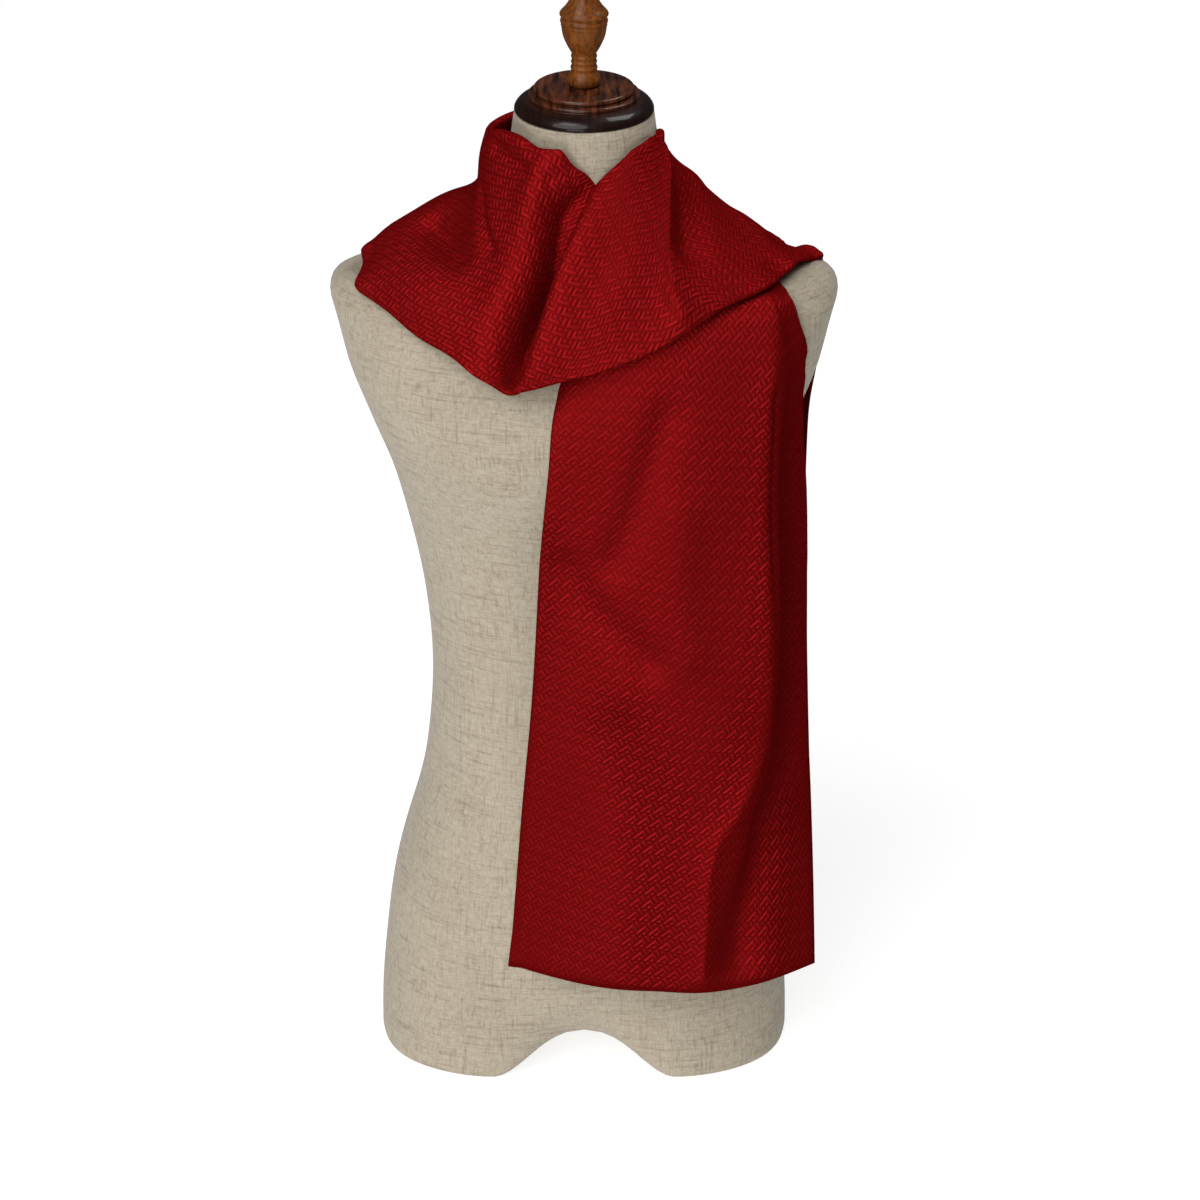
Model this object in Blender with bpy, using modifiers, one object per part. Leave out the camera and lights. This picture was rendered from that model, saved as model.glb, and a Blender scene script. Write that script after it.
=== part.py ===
"""Silk scarf wound once round the neck of a linen covered dress form.

The form is a limbless torso on two short leg stumps, closed at the neck by a turned wooden cap
with a finial. The scarf is one strip of cloth. It hangs down the front, goes up over the form's
left shoulder, round behind the neck to the right shoulder, down to a V in front, back up over
itself to the left shoulder and down the back. Each stretch of it is its own solid, a wall
WALL thick, and neighbours along the strip are SEAM apart.

Tables are in millimetres: X to the viewer's right, Y away from the viewer, Z up from the floor.
"""
import math

import bpy
import numpy as np
from mathutils.bvhtree import BVHTree

MM = 0.001
WALL = 2.0
SEAM = 0.5
REST_GAP = 0.3
MIDDLE_X = 0.0
MIDDLE_Y = -6.15
BOOLEAN_REACH = 400.0

# The form
# One row for each level of the torso, from the floor to the neck's top. The outline at a level is
# a superellipse with its own depth in front of and behind the neck's axis.
FORM_LEVELS = (
    # level, half width, front, back, squareness
    (0, 168.8, 116, 116, 3.1),
    (30, 168.3, 114, 118, 2.85),
    (80, 164, 109, 120, 2.5),
    (130, 157.5, 106, 118, 2.35),
    (180, 146, 103, 110, 2.3),
    (230, 132.2, 98, 98, 2.25),
    (280, 124.8, 92, 87, 2.2),
    (330, 121.9, 88, 80, 2.2),
    (380, 124.3, 88, 78, 2.2),
    (430, 131.2, 93, 79, 2.2),
    (480, 142, 104, 83, 2.2),
    (520, 152.6, 118, 88, 2.25),
    (550, 163.7, 126, 92, 2.3),
    (575, 173, 127, 95, 2.35),
    (600, 182, 121, 96, 2.4),
    (625, 188.2, 111, 95, 2.4),
    (645, 193.5, 100, 90, 2.3),
    (654, 195.5, 93, 84, 2.2),
    (661, 194.5, 87, 78, 2.1),
    (667, 191, 83, 74, 2.05),
    (670, 185.5, 81, 72, 2),
    (672, 175, 79, 70.5, 1.9),
    (674, 158, 78, 70, 1.8),
    (679, 140, 77, 70, 1.7),
    (687, 123, 75, 70, 1.65),
    (697.5, 107, 74, 70, 1.65),
    (708, 93.5, 72.5, 70, 1.7),
    (719, 82, 70, 70, 1.8),
    (730, 73.5, 67, 68, 1.95),
    (742, 66, 62.5, 65, 2),
    (757, 59.8, 59, 61, 2),
    (776, 55.8, 56, 56.5, 2),
    (796.5, 53, 53, 53, 2),
)
BODY_ROWS = 18
SHOULDER_ROWS = 20
SHOULDER_LEVEL = 640.0
FORM_SIDES = 40
CREASE_TOP = 110.0
CREASE_DEPTH = 0.5
CREASE_WIDTH = 40.0
ARCH_OUTLINE = ((-46, -1), (-36, 5), (-25, 15), (-15, 26), (-9, 31), (9, 31), (15, 26), (25, 15), (36, 5), (46, -1))

# The neck cap and its finial
# Each row is a point of the turned profile, from the axis at the top to the axis at the bottom.
CAP_PROFILE = (
    # radius, height over the neck
    (0, 19.4), (36.4, 19.4), (37.6, 18.6), (38.2, 17.2), (37.6, 15.8), (41.2, 14.4),
    (42.4, 12.6), (41.6, 11), (43.6, 9.6), (47.6, 8.2), (50.6, 6), (52.5, 3.2),
    (52.9, 1.4), (51.6, 0), (0, 0),
)
CAP_SIDES = 40
FINIAL_PROFILE = (
    # radius, height over the cap
    (0, 98), (4.5, 96.6), (7.6, 93), (8.6, 88.5), (7.4, 84), (5.6, 81), (6.4, 78), (9, 72),
    (11.4, 65.8), (15, 60.6), (18.3, 57), (18.3, 54.6), (17.2, 52.6), (18, 50.6), (17.2, 48.2),
    (17.4, 46.6), (16.2, 40), (14, 34), (11.2, 28.4), (9.1, 24.8), (9.9, 22.8), (9.3, 20.6),
    (9.9, 18.4), (9.3, 16.2), (10.4, 13.8), (9.7, 11.8), (11.6, 8.6), (13, 5), (12.4, 1.8),
    (10.6, 0), (0, 0),
)
FINIAL_SIDES = 24

# The scarf
# Sections across the strip, from the front hem to the back hem. Each is six points from the
# selvedge next to the neck to the outer selvedge. A level section gives its height once.
FRONT_LEVELS = (
    # height, neck selvedge, inner panel, middle, ridge, valley, outer selvedge
    (105, (-61, -101), (-4, -130), (56, -144), (115, -140), (150, -125), (188, -98)),
    (180, (-55, -106), (0, -130), (55, -141), (119, -131), (147, -108), (186, -72)),
    (260, (-49, -111), (4, -130), (57, -138), (130, -123), (148, -92), (183, -46)),
    (340, (-42, -116), (8, -130), (60, -136), (140, -119), (150, -82), (180, -37)),
    (420, (-37, -121), (12, -131), (62, -134), (143, -116), (153, -77), (178, -34)),
    (500, (-32, -128), (16, -132), (64, -133), (140, -112), (155, -75), (175, -38)),
    (565, (-26, -131), (20, -132), (66, -131), (138, -110), (155, -80), (171, -50)),
)
FRONT_RISE = (
    # neck selvedge, inner panel, middle, ridge, valley, outer selvedge
    ((-21, -123, 612), (22, -128, 620), (66, -126, 625), (136, -106, 625), (152, -85, 630), (164, -68, 638)),
    ((0, -104, 662), (36, -110, 668), (74, -108, 670), (123, -93, 670), (139, -78, 669), (150, -57, 672)),
    ((32, -78, 706), (56, -82, 699), (82, -80, 691), (112, -70, 684), (130, -60, 680), (148, -42, 677)),
    ((56, -44, 738), (72, -46, 722), (92, -46, 708), (114, -40, 697), (132, -34, 690), (148, -26, 684)),
)
NECK_WRAP = (
    # rim, stand, fold of the collar, upper lap, lower lap, outer selvedge
    ((64, 0, 750), (77, 0, 732), (94, 0, 715), (113, 0, 702), (131, 0, 694), (149, 0, 688)),
    ((58, 38, 748), (68, 48, 730), (80, 58, 713), (95, 65, 697), (112, 67, 682), (128, 63, 669)),
    ((30, 62, 769), (34, 71, 750), (39, 80, 728), (46, 90, 702), (52, 97, 675), (56, 99, 650)),
    ((-4, 68, 775), (-5, 76, 752), (-6, 84, 724), (-8, 92, 699), (-10, 98, 670), (-12, 101, 643)),
    ((-35, 61, 777), (-42, 69, 753), (-50, 77, 724), (-62, 86, 700), (-75, 90, 675), (-88, 88, 652)),
    ((-58, 39, 779), (-67, 45, 752), (-79, 52, 717), (-98, 60, 702), (-119, 64, 685), (-140, 60, 668)),
)
COWL_LEFT = (
    # rim, stand, fold of the collar, upper lap, lower lap, outer selvedge
    ((-73, 8, 780), (-77.5, 8, 759), (-81.5, 8, 738), (-106, 8, 725), (-139, 8, 705), (-166, 5, 684)),
    ((-71, -14, 784), (-78, -19, 760), (-82, -27, 735), (-105, -32, 711), (-140, -38, 695), (-171, -40, 674)),
    ((-66, -24, 787), (-74, -31, 759), (-80, -39, 732), (-103, -46, 706), (-136, -52, 690), (-165, -51, 669)),
    ((-57, -36, 789), (-66, -46, 757), (-76, -56, 728), (-98, -64, 701), (-127, -70, 683), (-150, -68, 664)),
    ((-40, -54, 790), (-50, -66, 755), (-60, -78, 722), (-77, -90, 692), (-100, -100, 668), (-121, -96, 649)),
    ((-24, -65, 787), (-36, -78, 752), (-46, -92, 716), (-60, -108, 686), (-76, -117, 658), (-93, -117, 637)),
)
COWL_RIGHT = (
    # rim, stand, upper panel, middle, lower panel, outer selvedge
    ((-16, -66, 783), (-28, -79, 748), (-39, -96, 712), (-52, -112, 680), (-67, -122, 652), (-82, -124, 632)),
    ((-7, -66, 776), (-19, -80, 742), (-31, -98, 706), (-43, -114, 674), (-55, -126, 645), (-69, -130, 628)),
    ((7, -62, 757), (-2, -72, 735), (-12, -86, 708), (-24, -102, 680), (-38, -122, 650), (-57, -136, 624)),
    ((8, -65, 758.5), (-5, -89, 740), (-17, -107, 718), (-29, -124, 688), (-41, -137, 650), (-46, -140, 626)),
    ((22, -61, 772), (14, -92, 742), (6, -112, 714), (-2, -128, 686), (-8, -138, 657), (-16, -142, 636)),
    ((36, -54, 783), (33, -80, 752), (30, -103, 724), (26, -120, 698), (22, -130, 671), (17, -140, 645)),
    ((50, -32, 785), (49, -62, 758), (50, -86, 732), (54, -104, 706), (58, -116, 682), (62, -126, 660)),
    ((54.5, -8, 782), (58.5, -34, 764), (61, -60, 743), (63, -84, 721), (74, -101, 700), (97, -107, 677)),
    ((58, 13, 763), (74, -8, 746), (86, -32, 728), (98, -56, 710), (112, -74, 696), (124, -86, 683)),
    ((64, 32, 748), (85, 18, 732), (105, -4, 715), (122, -26, 702), (137, -44, 693), (150, -60, 687)),
)
BACK_FALL = (
    # neck selvedge, inner panel, middle, ridge, valley, outer selvedge
    ((65, 54, 739), (88, 48, 722), (113, 30, 706), (136, 10, 694), (160, -10, 687), (182, -20, 683)),
    ((58, 76, 722), (82, 80, 703), (110, 73, 686), (138, 56, 672), (163, 38, 670), (184, 18, 671)),
    ((38, 100, 684), (68, 102, 668), (101, 95, 656), (134, 80, 648), (162, 62, 642), (184, 42, 636)),
    ((20, 107, 636), (55, 110, 625), (92, 106, 615), (128, 92, 608), (158, 71, 602), (182, 48, 596)),
)
BACK_LEVELS = (
    # height, neck selvedge, inner panel, middle, ridge, valley, outer selvedge
    (550, (5, 108), (45, 112), (85, 108), (122, 97), (154, 76), (180, 49)),
    (460, (-8, 107), (34, 112), (76, 111), (118, 103), (152, 79), (179, 48)),
    (370, (-18, 106), (26, 115), (70, 116), (114, 107), (150, 83), (180, 50)),
    (280, (-27, 112), (18, 121), (64, 123), (110, 114), (148, 90), (182, 57)),
    (195, (-35, 121), (12, 130), (60, 132), (108, 123), (148, 103), (184, 73)),
)
STRETCHES = (
    # name, tables of its sections, rows of faces along it, crowding of the rows to start and end
    ("scarf_front_tail", (FRONT_LEVELS, FRONT_RISE), 32, (0, 0.7)),
    ("scarf_neck_wrap", (NECK_WRAP,), 24, (0.4, 0.4)),
    ("scarf_cowl_left", (COWL_LEFT,), 14, (0.4, 0.4)),
    ("scarf_cowl_right", (COWL_RIGHT,), 26, (0.4, 0.5)),
    ("scarf_back_tail", (BACK_FALL, BACK_LEVELS), 28, (0.7, 0)),
)
FACES_ACROSS = 14
OVER_FORM = WALL / 2 + 0.8
OVER_CLOTH = WALL + 1.8
SETTLE_PASSES = 6
SETTLE_REACH = 30.0
LOWER_LAYER_END = 2
UPPER_LAYER_START = 3


def clear_scene():
    """Remove every object and start one collection for the solids and one for the cutters."""
    for item in list(bpy.data.objects):
        bpy.data.objects.remove(item, do_unlink=True)
    for name in ("scarf_on_dress_form", "cutters"):
        group = bpy.data.collections.new(name)
        bpy.context.scene.collection.children.link(group)


def natural_spline(knots, values, at):
    """Cubic curve through values at knots, straight at both ends, read at the given places."""
    knots = np.asarray(knots, float)
    values = np.asarray(values, float)
    at = np.asarray(at, float)
    count = len(knots)
    step = np.diff(knots)
    shape = (-1,) + (1,) * (values.ndim - 1)
    slope = np.diff(values, axis=0) / step.reshape(shape)
    matrix = np.eye(count)
    right = np.zeros_like(values)
    for i in range(1, count - 1):
        matrix[i, i - 1:i + 2] = step[i - 1], 2 * (step[i - 1] + step[i]), step[i]
        right[i] = 6 * (slope[i] - slope[i - 1])
    bend = np.linalg.solve(matrix, right.reshape(count, -1)).reshape(values.shape)
    cell = np.clip(np.searchsorted(knots, at, side="right") - 1, 0, count - 2)
    width = step[cell].reshape(shape)
    after = (at - knots[cell]).reshape(shape)
    before = width - after
    cubic = (bend[cell] * before ** 3 + bend[cell + 1] * after ** 3) / (6 * width)
    line_start = (values[cell] / width - bend[cell] * width / 6) * before
    line_end = (values[cell + 1] / width - bend[cell + 1] * width / 6) * after
    return cubic + line_start + line_end


def material(name, colour, roughness, metallic=0.0):
    """One Principled material."""
    made = bpy.data.materials.new(name)
    made.use_nodes = True
    shader = made.node_tree.nodes["Principled BSDF"]
    shader.inputs["Base Color"].default_value = (*colour, 1.0)
    shader.inputs["Roughness"].default_value = roughness
    shader.inputs["Metallic"].default_value = metallic
    return made


def add_object(name, points, faces, finish, group="scarf_on_dress_form"):
    """A mesh object from points in millimetres and faces."""
    mesh = bpy.data.meshes.new(name)
    mesh.from_pydata((np.asarray(points, float) * MM).tolist(), [], faces)
    mesh.update()
    item = bpy.data.objects.new(name, mesh)
    bpy.data.collections[group].objects.link(item)
    if finish:
        mesh.materials.append(finish)
    return item


def grid_faces(rows, columns, closed=False):
    """Quads of a grid whose points run along each row in turn."""
    last = columns if closed else columns - 1
    quads = []
    for row in range(rows - 1):
        for column in range(last):
            a = row * columns + column
            b = row * columns + (column + 1) % columns
            quads.append((a, b, b + columns, a + columns))
    return quads


def form_rings():
    """Rings of the torso, from the floor up, spaced evenly along its outline."""
    levels = np.array(FORM_LEVELS, float)
    outline = levels[:, :2]
    travel = np.concatenate([[0], np.cumsum(np.linalg.norm(np.diff(outline, axis=0), axis=1))])
    shoulder = np.interp(SHOULDER_LEVEL, levels[:, 0], travel)
    body_places = np.linspace(0, shoulder, BODY_ROWS)
    shoulder_places = np.linspace(shoulder, travel[-1], SHOULDER_ROWS + 1)[1:]
    places = np.concatenate([body_places, shoulder_places])
    rings = []
    for level, half, front, back, square in natural_spline(travel, levels, places):
        turn = np.linspace(0, 2 * math.pi, FORM_SIDES, endpoint=False)
        across = np.sign(np.cos(turn)) * np.abs(np.cos(turn)) ** (2 / square)
        away = np.sign(np.sin(turn)) * np.abs(np.sin(turn)) ** (2 / square)
        x = half * across
        fade = max(0.0, 1 - level / CREASE_TOP) ** 2.5
        crease = 1 - CREASE_DEPTH * fade * np.exp(-(x / CREASE_WIDTH) ** 2)
        y = np.where(away < 0, front, back) * away * crease
        rings.append(np.stack([x, y, np.full_like(x, level)], axis=1))
    return np.array(rings)


def make_form():
    """The torso, closed at both ends, with the arch between its stumps cut through."""
    rings = form_rings()
    points = rings.reshape(-1, 3)
    faces = grid_faces(len(rings), FORM_SIDES, closed=True)
    faces.append(tuple(reversed(range(FORM_SIDES))))
    top = (len(rings) - 1) * FORM_SIDES
    faces.append(tuple(range(top, top + FORM_SIDES)))
    linen = material("linen", (0.56, 0.50, 0.41), 0.85)
    form = add_object("form_torso", points, faces, linen)
    outline = [(x, -BOOLEAN_REACH, z) for x, z in ARCH_OUTLINE]
    outline += [(x, BOOLEAN_REACH, z) for x, z in ARCH_OUTLINE]
    count = len(ARCH_OUTLINE)
    sides = [(i, (i + 1) % count, (i + 1) % count + count, i + count) for i in range(count)]
    ends = [tuple(reversed(range(count))), tuple(range(count, 2 * count))]
    cutter = add_object("arch_cutter", outline, sides + ends, None, "cutters")
    cutter.hide_render = True
    cutter.display_type = "WIRE"
    cut = form.modifiers.new("arch", "BOOLEAN")
    cut.operation = "DIFFERENCE"
    cut.solver = "EXACT"
    cut.object = cutter
    form.data.shade_smooth()
    return rings


def make_turned(name, profile, base, sides, finish):
    """A turned piece: its profile carried once round the neck's axis."""
    points = [(radius, 0, base + height) for radius, height in profile]
    mesh = bpy.data.meshes.new(name)
    edges = [(i, i + 1) for i in range(len(points) - 1)]
    mesh.from_pydata((np.array(points, float) * MM).tolist(), edges, [])
    item = bpy.data.objects.new(name, mesh)
    bpy.data.collections["scarf_on_dress_form"].objects.link(item)
    mesh.materials.append(finish)
    screw = item.modifiers.new("turn", "SCREW")
    screw.steps = sides
    screw.render_steps = sides
    screw.use_merge_vertices = True
    screw.merge_threshold = 0.00001
    return item


def sections(tables):
    """The sections of a stretch as one array of points."""
    rows = []
    for table in tables:
        for row in table:
            if isinstance(row[0], tuple):
                rows.append(row)
            else:
                rows.append([(x, y, row[0]) for x, y in row[1:]])
    return np.array(rows, float)


def strip_points():
    """The whole strip: where each stretch starts along it, and a reader of its points."""
    parts = [sections(tables) for _, tables, _, _ in STRETCHES]
    rows = np.concatenate(parts)
    along = np.linalg.norm(np.diff(rows, axis=0), axis=2).mean(axis=1)
    along = np.concatenate([[0], np.cumsum(along)])
    across = np.linalg.norm(np.diff(rows, axis=1), axis=2).mean(axis=0)
    across = np.concatenate([[0], np.cumsum(across)])
    places = np.linspace(0, across[-1], FACES_ACROSS + 1)
    rows = natural_spline(across, rows.swapaxes(0, 1), places).swapaxes(0, 1)
    starts = [along[sum(len(part) for part in parts[:i])] for i in range(len(parts))]
    starts.append(along[-1])
    grids = []
    for i, (_, _, count, crowding) in enumerate(STRETCHES):
        low = starts[i] + (SEAM / 2 if i else 0)
        high = starts[i + 1] - (SEAM / 2 if i < len(STRETCHES) - 1 else 0)
        share = np.linspace(0, 1, count + 1)
        share = share - (1 - share) ** 2 * share * crowding[0] + (1 - share) * share ** 2 * crowding[1]
        grids.append(natural_spline(along, rows, low + (high - low) * share))
    return grids


def tree_of(points, faces):
    """A search tree over a surface."""
    return BVHTree.FromPolygons([tuple(p) for p in points], faces)


def push_off(points, tree, gap, reach):
    """Move each point that is nearer than gap to the surface, or behind it, out to the gap."""
    moved = points.copy()
    for index, point in enumerate(points):
        place, normal, _, distance = tree.find_nearest(tuple(point), reach)
        if place is None:
            continue
        offset = np.array(point) - np.array(place)
        height = float(np.dot(offset, normal))
        if abs(height) < 0.8 * distance and distance > gap:
            continue
        if height < gap:
            moved[index] = np.array(place) + np.array(normal) * gap
    return moved


def soften(grid, share):
    """Move each point part of the way to the mean of its neighbours along the strip and across."""
    out = grid.copy()
    inner = (grid[2:, 1:-1] + grid[:-2, 1:-1] + grid[1:-1, 2:] + grid[1:-1, :-2]) / 4
    out[1:-1, 1:-1] += share * (inner - grid[1:-1, 1:-1])
    return out


def settle(grid, trees):
    """Lay a grid of cloth over what is under it, and keep it smooth."""
    shape = grid.shape
    for turn in range(SETTLE_PASSES):
        flat = grid.reshape(-1, 3)
        for tree, gap in trees:
            flat = push_off(flat, tree, gap, SETTLE_REACH)
        grid = flat.reshape(shape)
        if turn < SETTLE_PASSES - 1:
            grid = soften(grid, 0.2)
    return grid


def make_scarf(rings):
    """The five stretches, the upper ones laid over the lower ones."""
    silk = material("red_silk", (0.26, 0.006, 0.008), 0.4)
    form_tree = tree_of(rings.reshape(-1, 3), grid_faces(len(rings), FORM_SIDES, closed=True))
    grids = strip_points()
    below = [(form_tree, OVER_FORM)]
    for index in range(UPPER_LAYER_START):
        grids[index] = settle(grids[index], below)
    for index in range(LOWER_LAYER_END):
        rows, columns = grids[index].shape[:2]
        faces = grid_faces(rows, columns)
        below.append((tree_of(grids[index].reshape(-1, 3), faces), OVER_CLOTH))
    for index in range(UPPER_LAYER_START, len(grids)):
        grids[index] = settle(grids[index], below)
    for (name, _, _, _), grid in zip(STRETCHES, grids):
        rows, columns = grid.shape[:2]
        faces = grid_faces(rows, columns)
        item = add_object(name, grid.reshape(-1, 3), faces, silk)
        wall = item.modifiers.new("wall", "SOLIDIFY")
        wall.thickness = WALL * MM
        wall.offset = 0
        item.data.shade_smooth()


def main():
    clear_scene()
    rings = make_form()
    neck_top = FORM_LEVELS[-1][0]
    dark_wood = material("dark_varnished_wood", (0.045, 0.014, 0.008), 0.25)
    make_turned("neck_cap", CAP_PROFILE, neck_top + REST_GAP, CAP_SIDES, dark_wood)
    cap_top = neck_top + REST_GAP + CAP_PROFILE[0][1]
    wood = material("varnished_wood", (0.13, 0.045, 0.012), 0.25)
    make_turned("neck_finial", FINIAL_PROFILE, cap_top + REST_GAP, FINIAL_SIDES, wood)
    make_scarf(rings)
    origin = bpy.data.objects.new("middle_of_the_footprint", None)
    origin.location = (-MIDDLE_X * MM, -MIDDLE_Y * MM, 0)
    bpy.data.collections["scarf_on_dress_form"].objects.link(origin)
    for item in bpy.data.objects:
        if item.type == "MESH":
            item.parent = origin


main()
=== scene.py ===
"""A red silk scarf wound once round the neck of a linen covered dress form.

The form stands on two leg stumps and is closed at the neck by a turned cap with a finial. Tables
are in millimetres from the neck's axis: X to the viewer's right, Y away from the viewer, Z up.
"""
import math

import bpy
import numpy as np
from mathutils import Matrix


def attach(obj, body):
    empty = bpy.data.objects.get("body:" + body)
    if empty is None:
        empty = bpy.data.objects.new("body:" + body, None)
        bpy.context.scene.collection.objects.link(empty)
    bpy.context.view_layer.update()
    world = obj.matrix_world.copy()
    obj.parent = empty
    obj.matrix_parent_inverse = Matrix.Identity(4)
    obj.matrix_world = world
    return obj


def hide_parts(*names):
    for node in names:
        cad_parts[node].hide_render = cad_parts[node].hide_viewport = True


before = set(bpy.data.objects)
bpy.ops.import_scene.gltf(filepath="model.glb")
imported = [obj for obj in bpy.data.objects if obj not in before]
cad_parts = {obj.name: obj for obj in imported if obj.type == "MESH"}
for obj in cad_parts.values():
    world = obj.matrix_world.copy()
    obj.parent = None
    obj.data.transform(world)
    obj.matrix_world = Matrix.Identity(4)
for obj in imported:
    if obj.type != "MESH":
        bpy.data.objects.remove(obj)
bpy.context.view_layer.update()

# Torso
# A light padded shell with natural linen stretched over it: two short leg stumps with an arch
# between them, waist, chest, and shoulders that are rounded off where arms would be.
MM = 0.001
AXIS_Y = 6.15
FORM_LEVELS = (
    # level, half width, front, back, squareness
    (0, 168.8, 116, 116, 3.1),
    (30, 168.3, 114, 118, 2.85),
    (80, 164, 109, 120, 2.5),
    (130, 157.5, 106, 118, 2.35),
    (180, 146, 103, 110, 2.3),
    (230, 132.2, 98, 98, 2.25),
    (280, 124.8, 92, 87, 2.2),
    (330, 121.9, 88, 80, 2.2),
    (380, 124.3, 88, 78, 2.2),
    (430, 131.2, 93, 79, 2.2),
    (480, 142, 104, 83, 2.2),
    (520, 152.6, 118, 88, 2.25),
    (550, 163.7, 126, 92, 2.3),
    (575, 173, 127, 95, 2.35),
    (600, 182, 121, 96, 2.4),
    (625, 188.2, 111, 95, 2.4),
    (645, 193.5, 100, 90, 2.3),
    (654, 195.5, 93, 84, 2.2),
    (661, 194.5, 87, 78, 2.1),
    (667, 191, 83, 74, 2.05),
    (670, 185.5, 81, 72, 2),
    (672, 175, 79, 70.5, 1.9),
    (674, 158, 78, 70, 1.8),
    (679, 140, 77, 70, 1.7),
    (687, 123, 75, 70, 1.65),
    (697.5, 107, 74, 70, 1.65),
    (708, 93.5, 72.5, 70, 1.7),
    (719, 82, 70, 70, 1.8),
    (730, 73.5, 67, 68, 1.95),
    (742, 66, 62.5, 65, 2),
    (757, 59.8, 59, 61, 2),
    (776, 55.8, 56, 56.5, 2),
    (796.5, 53, 53, 53, 2),
)
FORM_ROWS = 190
FORM_SIDES = 200
FINE_ROWS = 2000
# the hollow between the stumps, front and back, and the arch under it
CREASE_TOP = 110.0
CREASE_DEPTH = 0.5
CREASE_WIDTH = 40.0
CREASE_FADE = 2.5
ARCH_HEIGHT = 32.0
ARCH_HALF = 48.0
ARCH_FADE = 1.2
STUMP_TOP = 130.0
SOLE_EDGE = 4.0
SOLE_HALF = 130.0
SOLE_ANGLES = (90, 60, 30)
CROWN_SHARES = (0.8, 0.5, 0.2)
SHARP_ANGLE = math.radians(50)
# turns of the noise to a metre across and along the linen's threads and slubs
THREAD_ACROSS = 760
THREAD_ALONG = 150
SLUB_ACROSS = 420
SLUB_ALONG = 24
SLUB_RANGE = (0.54, 0.74)
THREAD_GRAIN = 2200
CLOUD = 16
LINEN_RELIEF = 0.0006
LINEN_LIGHT = (0.405, 0.354, 0.273, 1)
LINEN_DARK = (0.212, 0.173, 0.119, 1)


def natural_spline(knots, values, at):
    """Cubic curve through values at knots, straight at both ends, read at the given places."""
    knots = np.asarray(knots, float)
    values = np.asarray(values, float)
    at = np.asarray(at, float)
    count = len(knots)
    step = np.diff(knots)
    shape = (-1,) + (1,) * (values.ndim - 1)
    slope = np.diff(values, axis=0) / step.reshape(shape)
    matrix = np.eye(count)
    inner = np.arange(1, count - 1)
    matrix[inner, inner - 1] = step[:-1]
    matrix[inner, inner] = 2 * (step[:-1] + step[1:])
    matrix[inner, inner + 1] = step[1:]
    right = np.zeros_like(values)
    right[1:-1] = 6 * np.diff(slope, axis=0)
    glint_and_bend = np.linalg.solve(matrix, right.reshape(count, -1)).reshape(values.shape)
    cell = np.clip(np.searchsorted(knots, at, side="right") - 1, 0, count - 2)
    width = step[cell].reshape(shape)
    after = (at - knots[cell]).reshape(shape)
    before = width - after
    cubic = (glint_and_bend[cell] * before ** 3 + glint_and_bend[cell + 1] * after ** 3) / (6 * width)
    line_start = (values[cell] / width - glint_and_bend[cell] * width / 6) * before
    line_end = (values[cell + 1] / width - glint_and_bend[cell + 1] * width / 6) * after
    return cubic + line_start + line_end


def running(steps, axis=0):
    """Sums of the steps so far, from 0."""
    steps = np.asarray(steps, float)
    before = np.zeros_like(np.take(steps, [0], axis=axis))
    return np.concatenate([before, np.cumsum(steps, axis=axis)], axis=axis)


def quads(rows, columns, closed=False):
    """Corner numbers of the faces of a grid whose points run along each row in turn."""
    across = np.arange(columns if closed else columns - 1)
    a = np.arange(rows - 1)[:, None] * columns + across
    b = np.arange(rows - 1)[:, None] * columns + (across + 1) % columns
    return np.stack([a, b, b + columns, a + columns], axis=-1).reshape(-1, 4)


def surface(name, points, faces):
    """A mesh object from points in millimetres from the neck's axis, and faces of four corners."""
    placed = (np.asarray(points, float).reshape(-1, 3) + (0, AXIS_Y, 0)) * MM
    mesh = bpy.data.meshes.new(name)
    mesh.vertices.add(len(placed))
    mesh.vertices.foreach_set("co", placed.ravel())
    mesh.loops.add(faces.size)
    mesh.loops.foreach_set("vertex_index", faces.ravel())
    mesh.polygons.add(len(faces))
    mesh.polygons.foreach_set("loop_start", np.arange(len(faces)) * 4)
    mesh.update(calc_edges=True)
    mesh.validate()
    item = bpy.data.objects.new(name, mesh)
    bpy.context.scene.collection.objects.link(item)
    mesh.shade_smooth()
    return item


class Wire:
    """A socket in a material. Arithmetic on it adds Math nodes to the same material."""

    def __init__(self, tree, socket):
        self.tree = tree
        self.socket = socket

    def node(self, kind, settings, values, output=0):
        """Add a node, give it its settings, then its sockets' values or links."""
        made = self.tree.nodes.new("ShaderNode" + kind)
        for key, value in settings.items():
            setattr(made, key, value)
        for key, value in values.items():
            if isinstance(value, Wire):
                self.tree.links.new(value.socket, made.inputs[key])
            else:
                made.inputs[key].default_value = value
        return Wire(self.tree, made.outputs[output])

    def maths(self, operation, *values):
        """A Math node on the values, in order."""
        return self.node("Math", {"operation": operation}, dict(enumerate(values)))

    def __add__(self, other):
        return self.maths("ADD", self, other)

    def __sub__(self, other):
        return self.maths("SUBTRACT", self, other)

    def __rsub__(self, other):
        return self.maths("SUBTRACT", other, self)

    def __mul__(self, other):
        return self.maths("MULTIPLY", self, other)

    def __rmul__(self, other):
        return self.maths("MULTIPLY", other, self)

    def pick(self, low, high):
        """Grow from 0 at low to 1 at high, and stay in that range."""
        return self.node("MapRange", {}, {"Value": self, "From Min": low, "From Max": high})

    def noise(self, scale, **values):
        """Soft noise, with a size of its own along each axis."""
        place = self.node("Mapping", {}, {"Vector": self, "Scale": scale})
        return self.node("TexNoise", {}, {"Vector": place, "Scale": 1.0, **values})

    def blend(self, low, high):
        """A colour between two others, by this value."""
        return self.node("Mix", {"data_type": "RGBA"}, {0: self, 6: low, 7: high}, 2)

    def relief(self, distance, strength):
        """A normal that reads this value as a height, distance metres deep."""
        values = {"Height": self, "Distance": distance, "Strength": strength}
        return self.node("Bump", {}, values)


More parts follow.
